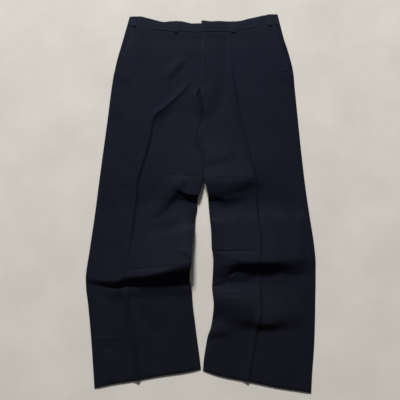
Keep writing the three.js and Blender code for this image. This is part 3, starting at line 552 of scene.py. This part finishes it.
def fold_height(fold, x, y):
    """How high one fold stands: its height at the nearest place on its line, less with distance."""
    _, kind, left, right, line = fold
    path = fine_path(line)
    nearest = np.full(x.shape, np.inf)
    height = np.zeros(x.shape)
    is_left = np.ones(x.shape, bool)
    for (ax, ay, ah), (bx, by, bh) in zip(path[:-1], path[1:]):
        dx, dy = bx - ax, by - ay
        t = np.clip(((x - ax) * dx + (y - ay) * dy) / (dx * dx + dy * dy), 0, 1)
        distance = np.hypot(x - ax - dx * t, y - ay - dy * t)
        closer = distance < nearest
        nearest = np.where(closer, distance, nearest)
        height = np.where(closer, mix(ah, bh, t), height)
        is_left = np.where(closer, dx * (y - ay) - dy * (x - ax) > 0, is_left)
    away = np.clip(nearest / np.where(is_left, left, right), 0, 1)
    fade = (1 - away) ** CRISP if kind == "crisp" else 1 - smoothstep(0, 1, away)
    return height * fade


def folds_at(leg, x, y):
    """The sum of a leg's folds, each worked out only near its own line."""
    other_side = "left" if leg.sign < 0 else "right"
    total = np.zeros(x.shape)
    for fold in FOLDS:
        if fold[0].startswith(other_side):
            continue
        line = np.array(fold[4], float)
        reach = max(fold[2], fold[3]) + 5
        near = (x > line[:, 0].min() - reach) & (x < line[:, 0].max() + reach)
        near &= (y > line[:, 1].min() - reach) & (y < line[:, 1].max() + reach)
        if near.any():
            total[near] += fold_height(fold, x[near], y[near])
    return total


def back_folds_at(leg, x, y):
    """How far the back cloth stands off the floor at its pressed crease and its soft folds."""
    height, spread = 0.9, 6
    pressed = height * np.clip(1 - np.abs(x - leg.crease(y)) / spread, 0, 1) ** CRISP
    total = pressed * smoothstep(0, 40, y - leg.hem(x)) * (1 - smoothstep(330, 380, y))
    for fold in BACK_FOLDS:
        total += fold_height(fold, x, y)
    return total


def hem_line(leg, x, y):
    """The faint line that the blind stitches of a turned up hem draw in the cloth."""
    depth, width, pitch = 0.4, 2.6, 9
    above = y - leg.hem(x) - HEM_DEPTH
    pulls = 0.75 + 0.25 * np.sin(2 * math.pi * x / pitch)
    return -depth * pulls * np.exp(-(above / width) ** 2)


def ripples_at(x, y):
    total = np.zeros(x.shape)
    wander = 1.3 * np.sin(x / 83 + y / 131)
    for height, length, degrees, phase in RIPPLES:
        along = x * math.cos(math.radians(degrees)) + y * math.sin(math.radians(degrees))
        total += height * np.sin(2 * math.pi * along / length + phase + wander)
    return total


def loft_at(leg, x, y):
    """How far the front cloth stands off the back: low at side seams, inseams and waist."""
    fade = 60  # from the waist and from the hem
    from_side = np.abs(x - leg.side(y))
    from_inner = np.maximum(0, leg.sign * (x - leg.inseam(y)))
    pinch = 1 - smoothstep(FORK, CROTCH + 10, y)
    rise = (1 - np.exp(-from_side / EDGE_ROLL)) * (1 - pinch * np.exp(-from_inner / EDGE_ROLL))
    below_band = leg.band_seam(x) - y
    above_hem = y - leg.hem(x)
    full = mix(WAIST_LOFT, LOFT, smoothstep(0, fade, below_band))
    rolled = 1 - np.exp(-np.maximum(0, above_hem) / HEM_ROLL)
    return mix(HEM_LOFT, full, smoothstep(0, fade, above_hem)) * rise * rolled


def lap_rise(leg, x, y):
    """How much higher a front lies over a pocket facing or over the other front's lap at the fly."""
    over_facing = 1 - smoothstep(24, 56, np.abs(x - leg.mouth_x(y)))
    pocket = over_facing * smoothstep(MOUTH_END - 40, MOUTH_END - 10, y)
    if leg.sign < 0:
        return LAP_RISE * pocket
    over_lap = 1 - smoothstep(FLY_LAP + 6, FLY_LAP + 38, x - centre_x(y))
    fly = over_lap * smoothstep(FLY_END - 70, FLY_END - 6, y)
    return LAP_RISE * np.maximum(pocket, fly)


def grid_normals(grid):
    """Unit normals of a grid of points, upwards where it lies flat. Edges keep to their own plane."""
    along_row = np.gradient(grid, axis=1)
    along_column = np.gradient(grid, axis=0)
    normals = np.cross(along_row, along_column)
    if np.median(normals[..., 2]) < 0:
        normals = -normals
    normals[:, [0, -1], 0] = 0
    normals[[0, -1], :, 1] = 0
    return normals / np.linalg.norm(normals, axis=-1, keepdims=True)


def edge_distance(grid):
    """Distance of each grid point from the nearest edge of the piece, along the grid's own lines."""
    def from_ends(axis):
        steps = np.linalg.norm(np.diff(grid, axis=axis), axis=-1)
        start = np.insert(np.cumsum(steps, axis=axis), 0, 0, axis=axis)
        whole = np.take(start, [-1], axis=axis)
        return np.minimum(start, whole - start)

    return np.minimum(from_ends(0), from_ends(1))


def rounded_half(grid, thickness, radius=1.6):
    """Half the wall's thickness at each point, less near the edges so that they're round."""
    thinnest = 0.12
    share = np.clip(edge_distance(grid) / radius, 0, 1)
    return np.maximum(thinnest, thickness / 2 * np.sqrt(1 - (1 - share) ** 2))


def new_piece(name, points, faces, smooth=True):
    """An object in the scene with a mesh of its own. Its points are in metres."""
    mesh = bpy.data.meshes.new(name)
    mesh.from_pydata(points, [], faces)
    mesh.polygons.foreach_set("use_smooth", np.full(len(mesh.polygons), smooth))
    piece = bpy.data.objects.new(name, mesh)
    bpy.context.scene.collection.objects.link(piece)
    return piece


def wall_mesh(name, grid, normals, half):
    """A closed cloth wall round a grid of points in millimetres. Nothing goes under the floor.

    Its points carry how worn they are: 1 at the edges of the piece, and nothing a few millimetres in.
    """
    rows, columns = grid.shape[:2]
    top = grid + normals * half[..., None]
    bottom = grid - normals * half[..., None]
    points = np.concatenate([top.reshape(-1, 3), bottom.reshape(-1, 3)])
    points[:, 2] = np.maximum(points[:, 2], 0)
    index = np.arange(rows * columns).reshape(rows, columns)
    under = index + rows * columns

    def quads(a, b, c, d):
        return np.stack([a, b, c, d], axis=-1).reshape(-1, 4)

    faces = [
        quads(index[:-1, :-1], index[:-1, 1:], index[1:, 1:], index[1:, :-1]),
        quads(under[:-1, :-1], under[1:, :-1], under[1:, 1:], under[:-1, 1:]),
        quads(index[:-1, 0], index[1:, 0], under[1:, 0], under[:-1, 0]),
        quads(index[:-1, -1], under[:-1, -1], under[1:, -1], index[1:, -1]),
        quads(index[0, :-1], under[0, :-1], under[0, 1:], index[0, 1:]),
        quads(index[-1, :-1], index[-1, 1:], under[-1, 1:], under[-1, :-1]),
    ]
    faces = np.concatenate(faces)
    first = points[faces[:, 0]]
    crossed = np.cross(points[faces[:, 1]] - first, points[faces[:, 2]] - first)
    if (first * crossed).sum() < 0:
        faces = faces[:, ::-1]
    piece = new_piece(name, (points * MM).tolist(), faces.tolist())
    worn = np.exp(-edge_distance(grid) / WORN_REACH).ravel()
    attribute = piece.data.attributes.new("worn", "FLOAT", "POINT")
    attribute.data.foreach_set("value", np.concatenate([worn, worn]))
    piece.data.update()
    return piece


def dress(piece, material, node=None):
    """Gives a piece its material, puts it on the body and hides the imported part that it stands in for."""
    piece.data.materials.append(material)
    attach(piece, "root")
    if node:
        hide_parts(node)
    return piece


def panel_points(leg, layer):
    """The middle of a panel's wall: half a seam gap to one side of the leg's own surface."""
    middle = leg_surface(leg, layer)
    middle[..., 2] += CLOTH + SEAM_GAP / 2
    normals = grid_normals(middle)
    offset = (1 if layer == "front" else -1) * (SEAM_GAP + CLOTH) / 2
    grid = middle + normals * offset
    x, y = middle[..., 0], middle[..., 1]
    inward = 1 - np.exp(-edge_distance(middle) / STILL_REACH)
    upwards = np.maximum(0, normals[..., 2]) ** 2
    if layer == "back":
        grid[..., 2] += back_folds_at(leg, x, y) * inward * upwards
    else:
        ripple = ripples_at(x, y) * inward + hem_line(leg, x, y)
        stand = np.maximum(0, loft_at(leg, x, y) + folds_at(leg, x, y) + ripple)
        grid[..., 2] += stand * upwards + lap_rise(leg, x, y)
    return grid, grid_normals(grid)


def make_panel(name, leg, layer, wool):
    grid, normals = panel_points(leg, layer)
    piece = wall_mesh(f"{name}_cloth", grid, normals, rounded_half(grid, CLOTH))
    return dress(piece, wool, name)


def make_facing(name, leg, wool):
    """The facing behind a slanted pocket mouth, from under the front out to the side seam."""
    under_front = 17
    shares = dense_ends(22, [0.01, 0.03])
    downs = dense_ends(40, [0.006, 0.02])
    rows = []
    for down in downs:
        y = np.full_like(shares, 440.0)
        for _ in range(5):
            inner = leg.mouth_x(y) - leg.sign * under_front
            x = mix(leg.side(y), inner, shares)
            y = mix(leg.band_seam(x) - BAND_SEAM_GAP, MOUTH_END - 4, down)
        lift = WAIST_LIFT * smoothstep(UNDER_BAND, leg.band_seam(x), y)
        z = lift + CLOTH + SEAM_GAP + CLOTH / 2 + loft_at(leg, x, y)
        rows.append(np.stack([x, y, z], axis=-1))
    grid = np.array(rows)
    piece = wall_mesh(f"{name}_cloth", grid, grid_normals(grid), rounded_half(grid, CLOTH))
    return dress(piece, wool, name)


BAND_BACK_Z = WAIST_LIFT + BAND / 2
BAND_FRONT_Z = BAND_BACK_Z + BAND + BAND_HOLLOW


def band_front_z(leg, x):
    """Height of the middle of the band's front run: the left one climbs over the right one's lap."""
    if leg.sign < 0:
        return BAND_FRONT_Z + 0 * x
    return BAND_FRONT_Z + (BAND + SEAM_GAP) * (1 - smoothstep(FLY_LAP + 6, FLY_LAP + 40, x))


def make_waistband(name, leg, wool):
    """One half of the waistband: from the centre front to the side, round it and back to the centre back."""
    centre = float(centre_x(455))
    front_end = FLY_LAP if leg.sign < 0 else centre
    back_end = centre + leg.sign * SEAM_GAP / 2
    turn = (BAND_FRONT_Z - BAND_BACK_Z) / 2
    ups = dense_ends(11, [0.012, 0.03, 0.06])
    path = [("front", share) for share in dense_ends(70, [0.002, 0.006])]
    path += [("turn", share) for share in np.arange(1, 14) / 14]
    path += [("back", 1 - share) for share in dense_ends(60, [0.002, 0.006])]
    rows = []
    for run, share in path:
        y = np.full_like(ups, 465.0)
        for _ in range(5):
            corner = leg.side(y) - leg.sign * (turn + BAND / 2)
            if run == "turn":
                x = corner + leg.sign * turn * math.sin(math.pi * share)
            else:
                x = mix(front_end if run == "front" else back_end, corner, share)
            y = mix(leg.band_seam(x), leg.band_top(x), ups)
        if run == "turn":
            z = (BAND_FRONT_Z + BAND_BACK_Z) / 2 + turn * math.cos(math.pi * share) + 0 * x
        else:
            z = band_front_z(leg, x) if run == "front" else BAND_BACK_Z + 0 * x
        if run == "front":
            z = z + 0.25 * np.sin(math.pi * ups) + 0.12 * np.sin(x / 11) * np.sin(math.pi * ups)
        rows.append(np.stack([x, y, z], axis=-1))
    grid = np.array(rows)
    along_path = np.gradient(grid, axis=0)
    across_band = np.gradient(grid, axis=1)
    normals = np.cross(across_band, along_path) * leg.sign
    normals[..., 1] = 0
    normals[[0, -1], :, 0] = 0
    normals /= np.linalg.norm(normals, axis=-1, keepdims=True)
    piece = wall_mesh(f"{name}_cloth", grid, normals, rounded_half(grid, BAND, radius=1.4))
    return dress(piece, wool, name)


def loop_end_rise(leg, x):
    """How much higher than the band the front cloth is just under it."""
    y = leg.band_seam(x) - BAND_SEAM_GAP
    cloth = WAIST_LIFT + CLOTH + SEAM_GAP + CLOTH + loft_at(leg, x, y) + lap_rise(leg, x, y)
    return max(0, float(cloth - band_front_z(leg, x) - BAND / 2))


def make_belt_loop(node, leg, x, face, wool):
    """A belt loop: a folded strip, from the top of the band to just under its seam."""
    below_seam, bow = 4, 0.9
    shares = dense_ends(13, [0.03])
    rows = []
    for along in dense_ends(27, [0.008, 0.02]):
        place = x + (shares - 0.5) * LOOP_WIDTH
        y = mix(leg.band_top(x) - 0.5, leg.band_seam(x) - below_seam, along) + 0 * place
        if face == "back":
            z = LOOP / 2 + 0 * place
        else:
            climb = loop_end_rise(leg, x) * smoothstep(0.55, 0.9, along)
            flat = band_front_z(leg, np.float64(x)) + BAND / 2 + SEAM_GAP + LOOP / 2
            seam_rows = 0.18 * np.exp(-((np.abs(shares - 0.5) - 0.34) / 0.05) ** 2)
            z = flat + climb + bow * math.sin(math.pi * along) - seam_rows
        rows.append(np.stack([place, y, z], axis=-1))
    grid = np.array(rows)
    piece = wall_mesh(f"{node}_cloth", grid, grid_normals(grid), rounded_half(grid, LOOP, radius=0.9))
    return dress(piece, wool, node)


def outside_of(piece):
    """For finding the height of a piece's cloth with a ray from above."""
    points = [point.co for point in piece.data.vertices]
    faces = [tuple(face.vertices) for face in piece.data.polygons]
    return BVHTree.FromPolygons(points, faces)


def top_of(cloth, x, y):
    """The point on the cloth under (x, y), all in millimetres, and its normal."""
    above = Vector((x * MM, y * MM, 0.2))
    place, normal, _, _ = cloth.ray_cast(above, Vector((0, 0, -1)))
    return np.array(place) / MM, np.array(normal)


def places_along(points, pitch):
    """Places every pitch millimetres along a smooth line through points of (x, y)."""
    line = fine_path([(x, y, 0) for x, y in points])[:, :2]
    lengths = np.insert(np.cumsum(np.linalg.norm(np.diff(line, axis=0), axis=1)), 0, 0)
    along = np.arange(0, lengths[-1], pitch)
    return np.stack([np.interp(along, lengths, line[:, 0]), np.interp(along, lengths, line[:, 1])], axis=-1)


def thread_mesh(name, stitches, material):
    """Threads lying on cloth as one mesh. Each stitch is its two ends and the cloth's normal there.

    A stitch's rings are given by their place along it, their width, and how high their middle lies.
    """
    sides = 6
    rings = [(-0.5, 0.45, -0.35), (-0.3, 1, 0.2), (0, 1, 0.4), (0.3, 1, 0.2), (0.5, 0.45, -0.35)]
    radius = THREAD / 2
    points, faces = [], []
    for start, end, normal in stitches:
        across = np.cross(end - start, normal)
        across /= np.linalg.norm(across)
        first = len(points)
        for along, width, up in rings:
            middle = (start + end) / 2 + (end - start) * along + normal * up * radius
            for turn in range(sides):
                angle = 2 * math.pi * turn / sides
                outward = across * math.cos(angle) + normal * math.sin(angle)
                points.append(middle + outward * width * radius)
        for ring in range(len(rings) - 1):
            for turn in range(sides):
                a, b = first + ring * sides + turn, first + ring * sides + (turn + 1) % sides
                faces.append((a, b, b + sides, a + sides))
        faces.append(tuple(first + turn for turn in reversed(range(sides))))
        faces.append(tuple(len(points) - sides + turn for turn in range(sides)))
    return dress(new_piece(name, (np.array(points) * MM).tolist(), faces), material)


def stitch(cloth, start, end):
    """The two ends on the cloth of a thread from (x, y) to (x, y), and the cloth's normal at its start."""
    place, normal = top_of(cloth, *start)
    return place, top_of(cloth, *end)[0], normal


def row_of_stitches(cloth, points):
    """Stitches in a row along a line through points of (x, y)."""
    places = places_along(points, STITCH_PITCH)
    stitches = []
    for here, ahead in zip(places[:-1], places[1:]):
        stitches.append(stitch(cloth, here, here + (ahead - here) * STITCH_LENGTH / STITCH_PITCH))
    return stitches


def bar_tack(cloth, x, y, degrees, length=TACK_LENGTH):
    """Threads close together that hold the end of a seam or of a loop."""
    along = np.array([math.cos(math.radians(degrees)), math.sin(math.radians(degrees))])
    across = np.array([-along[1], along[0]])
    stitches = []
    for row in range(TACK_ROWS):
        middle = np.array([x, y]) + across * (row - (TACK_ROWS - 1) / 2) * TACK_PITCH
        stitches.append(stitch(cloth, middle - along * length / 2, middle + along * length / 2))
    return stitches


def sew_front(side, leg, front, thread):
    """Topstitching and bar tacks of the pocket mouth, and of the fly on the wearer's left."""
    cloth = outside_of(front)
    inward = -leg.sign * MOUTH_STITCH
    top_y = float(leg.band_seam(leg.mouth[0])) - 3
    mouth = [(float(leg.mouth_x(y)) + inward, y) for y in np.linspace(top_y, MOUTH_END + 4, 6)]
    stitches = row_of_stitches(cloth, mouth)
    stitches += bar_tack(cloth, float(leg.mouth_x(MOUTH_END)) + inward * 0.6, MOUTH_END - 3, 0)
    stitches += bar_tack(cloth, float(leg.mouth_x(top_y)) + inward * 0.75, top_y - 2, 0, length=5)
    if leg.sign > 0:
        top_y = float(leg.band_seam(FLY_STITCH)) - 4
        from_fly = [
            (FLY_STITCH, top_y), (FLY_STITCH, 400), (FLY_STITCH, 356), (FLY_STITCH - 4, 330),
            (FLY_STITCH - 15, 310), (9, FLY_END - 1), (4, FLY_END - 3),
        ]
        stitches += row_of_stitches(cloth, [(float(centre_x(y)) + x, y) for x, y in from_fly])
        stitches += bar_tack(cloth, float(centre_x(FLY_END)) + 7.5, FLY_END - 0.5, 20, length=7)
    return thread_mesh(f"sewing_front_{side}", stitches, thread)


def sew_loop(node, leg, x, loop, thread):
    """Bar tacks at both ends of a belt loop that shows."""
    cloth = outside_of(loop)
    stitches = bar_tack(cloth, x, float(leg.band_top(x)) - 3, 0)
    stitches += bar_tack(cloth, x, float(leg.band_seam(x)) - 1.5, 0)
    return thread_mesh(f"sewing_{node}", stitches, thread)


# Materials


class Nodes:
    """Builds a node tree with short calls."""

    def __init__(self, name):
        self.material = bpy.data.materials.new(name)
        self.material.use_nodes = True
        self.tree = self.material.node_tree
        self.shader = self.tree.nodes["Principled BSDF"]
        self.coordinates = self.add("ShaderNodeTexCoord").outputs["Object"]

    def add(self, kind, **values):
        node = self.tree.nodes.new(kind)
        for key, value in values.items():
            setattr(node, key, value)
        return node

    def link(self, source, target):
        self.tree.links.new(source, target)

    def feed(self, node, values):
        """Links a node's named inputs to sockets, or sets them."""
        for name, value in values.items():
            if isinstance(value, bpy.types.NodeSocket):
                self.link(value, node.inputs[name])
            else:
                node.inputs[name].default_value = value

    def noise(self, scale, detail, roughness=0.5, stretch=None):
        """Noise with features about 1/scale metres across. stretch scales the coordinates."""
        node = self.add("ShaderNodeTexNoise")
        source = self.coordinates
        if stretch:
            mapping = self.add("ShaderNodeMapping")
            self.feed(mapping, {"Scale": stretch, "Vector": source})
            source = mapping.outputs["Vector"]
        self.feed(node, {"Scale": scale, "Detail": detail, "Roughness": roughness, "Vector": source})
        return node.outputs["Fac"]

    def stripes(self, pitch, degrees):
        """Soft parallel ridges pitch metres apart, turned in the plane of the floor."""
        mapping = self.add("ShaderNodeMapping")
        self.feed(mapping, {"Rotation": (0, 0, math.radians(degrees)), "Vector": self.coordinates})
        wave = self.add("ShaderNodeTexWave", bands_direction="X", wave_profile="SIN")
        scale = 2 * math.pi / 20 / pitch
        self.feed(wave, {"Scale": scale, "Distortion": 0.6, "Detail": 1, "Detail Scale": 1.5,
                         "Vector": mapping.outputs["Vector"]})
        return wave.outputs["Fac"]

    def math(self, operation, a, b):
        node = self.add("ShaderNodeMath", operation=operation)
        for socket, value in zip(node.inputs, (a, b)):
            if isinstance(value, (int, float)):
                socket.default_value = value
            else:
                self.link(value, socket)
        return node.outputs["Value"]

    def ramp(self, source, stops):
        node = self.add("ShaderNodeValToRGB")
        elements = node.color_ramp.elements
        while len(elements) < len(stops):
            elements.new(0.5)
        for element, (place, colour) in zip(elements, stops):
            element.position = place
            element.color = (*colour, 1)
        self.link(source, node.inputs["Fac"])
        return node.outputs["Color"]

    def blend(self, share, a, b):
        """The colour b over the colour a, as much as share says."""
        node = self.add("ShaderNodeMix", data_type="RGBA")
        self.feed(node, {"Factor": share, "A": a, "B": b})
        return node.outputs["Result"]

    def bump(self, height, distance, strength, under=None):
        node = self.add("ShaderNodeBump")
        self.feed(node, {"Strength": strength, "Distance": distance, "Height": height})
        if under is not None:
            self.link(under, node.inputs["Normal"])
        return node.outputs["Normal"]


def wool_material(name, dark, light, degrees=63):
    """Fine wool twill: diagonal ribs, mixed dark and lighter fibres, a faint nap and soft cloudy variation.

    dark and light each hold the colour at the hems and at the waist: the colour is a little bluer towards the
    waist.
    """
    nodes = Nodes(name)
    ribs = nodes.stripes(0.0009, degrees)
    fibres = nodes.noise(2100, detail=3, roughness=0.7)
    clouds = nodes.noise(34, detail=4, roughness=0.6, stretch=(1, 0.6, 1))
    blended = nodes.math("ADD", nodes.math("MULTIPLY", fibres, 0.55), nodes.math("MULTIPLY", clouds, 0.3))
    blended = nodes.math("ADD", blended, nodes.math("MULTIPLY", ribs, 0.15))
    place = nodes.add("ShaderNodeSeparateXYZ")
    nodes.feed(place, {"Vector": nodes.coordinates})
    upward = nodes.add("ShaderNodeMapRange")
    nodes.feed(upward, {"From Min": -0.35, "From Max": 0.35, "Value": place.outputs["Y"]})
    ends = [nodes.ramp(blended, [(0.3, dark[end]), (0.72, light[end])]) for end in range(2)]
    hem_to_waist_colour = nodes.blend(upward.outputs["Result"], *ends)
    edge = nodes.add("ShaderNodeAttribute", attribute_name="worn").outputs["Fac"]
    patches = nodes.math("MULTIPLY", nodes.noise(300, detail=3), 0.32)
    rubbed = nodes.blend(nodes.math("MULTIPLY", edge, patches), hem_to_waist_colour, (0.036, 0.038, 0.052, 1))
    rough = nodes.math("ADD", nodes.math("MULTIPLY", clouds, 0.1), 0.62)
    rough = nodes.math("SUBTRACT", rough, nodes.math("MULTIPLY", edge, 0.08))
    nap = nodes.bump(nodes.noise(900, detail=3), 0.00012, 0.5)
    nodes.feed(nodes.shader, {
        "Base Color": rubbed,
        "Roughness": rough,
        "Normal": nodes.bump(ribs, 0.00006, 0.45, nap),
        "Specular IOR Level": 0.045,
        "Sheen Weight": 0.01,
        "Sheen Roughness": 0.45,
        "Sheen Tint": (0.72, 0.78, 1, 1),
    })
    return nodes.material


def thread_material():
    """Tone on tone sewing thread with a slight twist and shine."""
    nodes = Nodes("sewing_thread")
    twist = nodes.stripes(0.0004, 30)
    nodes.feed(nodes.shader, {
        "Base Color": nodes.ramp(twist, [(0.2, (0.0032, 0.0036, 0.0075)), (0.8, (0.0095, 0.0105, 0.018))]),
        "Normal": nodes.bump(twist, 0.00005, 0.5),
        "Roughness": 0.55,
        "Specular IOR Level": 0.08,
    })
    return nodes.material


def floor_material():
    """Plain pale floor with a faint cloudy tone."""
    nodes = Nodes("plain_floor")
    clouds = nodes.noise(7, detail=5, roughness=0.55)
    nodes.feed(nodes.shader, {
        "Base Color": nodes.ramp(clouds, [(0.3, (0.655, 0.635, 0.595)), (0.7, (0.735, 0.71, 0.67))]),
        "Normal": nodes.bump(nodes.noise(260, detail=4), 0.0002, 0.15),
        "Roughness": 0.75,
        "Specular IOR Level": 0.2,
    })
    return nodes.material


# Room


def make_floor():
    size, steps, height = 7.0, 8, -0.0003
    line = np.linspace(-size, size, steps)
    points = [(x, y, height) for y in line for x in line]
    faces = [(r * steps + c, r * steps + c + 1, (r + 1) * steps + c + 1, (r + 1) * steps + c)
             for r in range(steps - 1) for c in range(steps - 1)]
    floor = new_piece("floor", points, faces, smooth=False)
    floor.data.materials.append(floor_material())


def make_light(name, place, size, power, colour):
    """A square soft box that points at the middle of the garment."""
    data = bpy.data.lights.new(name, "AREA")
    data.shape = "SQUARE"
    data.size = size
    data.energy = power
    data.color = colour
    light = bpy.data.objects.new(name, data)
    light.location = place
    light.rotation_euler = (-Vector(place)).to_track_quat("-Z", "Y").to_euler()
    light.visible_camera = False
    bpy.context.scene.collection.objects.link(light)


def light_room():
    make_light("window_light", (-1.02, 6.41, 4.68), 1.5, 815, (1.0, 0.985, 0.955))
    world = bpy.data.worlds.new("soft_room")
    world.use_nodes = True
    background = world.node_tree.nodes["Background"]
    background.inputs["Color"].default_value = (1.0, 0.985, 0.96, 1)
    background.inputs["Strength"].default_value = 0.11
    bpy.context.scene.world = world
    bpy.context.scene.view_settings.view_transform = "Standard"


def make_camera():
    """Above the garment, a little towards the hems."""
    distance, tilt = 1.03, math.radians(7)
    target_x, target_y = -0.0025, -0.018
    data = bpy.data.cameras.new("camera")
    data.lens = 36
    data.sensor_width = 36
    camera = bpy.data.objects.new("camera", data)
    camera.location = (target_x, target_y - distance * math.sin(tilt), distance * math.cos(tilt))
    camera.rotation_euler = (tilt, 0, 0)
    bpy.context.scene.collection.objects.link(camera)
    bpy.context.scene.camera = camera


def main():
    make_camera()
    make_floor()
    light_room()
    wool = wool_material(
        "wool_twill",
        dark=[(0.0054, 0.0056, 0.0106), (0.0038, 0.0058, 0.0145)],
        light=[(0.0120, 0.0126, 0.0212), (0.0098, 0.0126, 0.0268)],
    )
    band_wool = wool_material(
        "wool_twill_band",
        dark=[(0.0054, 0.0056, 0.0106), (0.0050, 0.0080, 0.0175)],
        light=[(0.0120, 0.0126, 0.0212), (0.0125, 0.0168, 0.0320)],
        degrees=-27,
    )
    thread = thread_material()
    for side, leg in LEGS.items():
        make_panel(f"back_{side}", leg, "back", wool)
        front = make_panel(f"front_{side}", leg, "front", wool)
        make_facing(f"pocket_facing_{side}", leg, wool)
        make_waistband(f"waistband_{side}", leg, band_wool)
        sew_front(side, leg, front, thread)
    for node, side, x, face in BELT_LOOPS:
        loop = make_belt_loop(node, LEGS[side], x, face, band_wool)
        if face == "front":
            sew_loop(node, LEGS[side], x, loop, thread)


main()
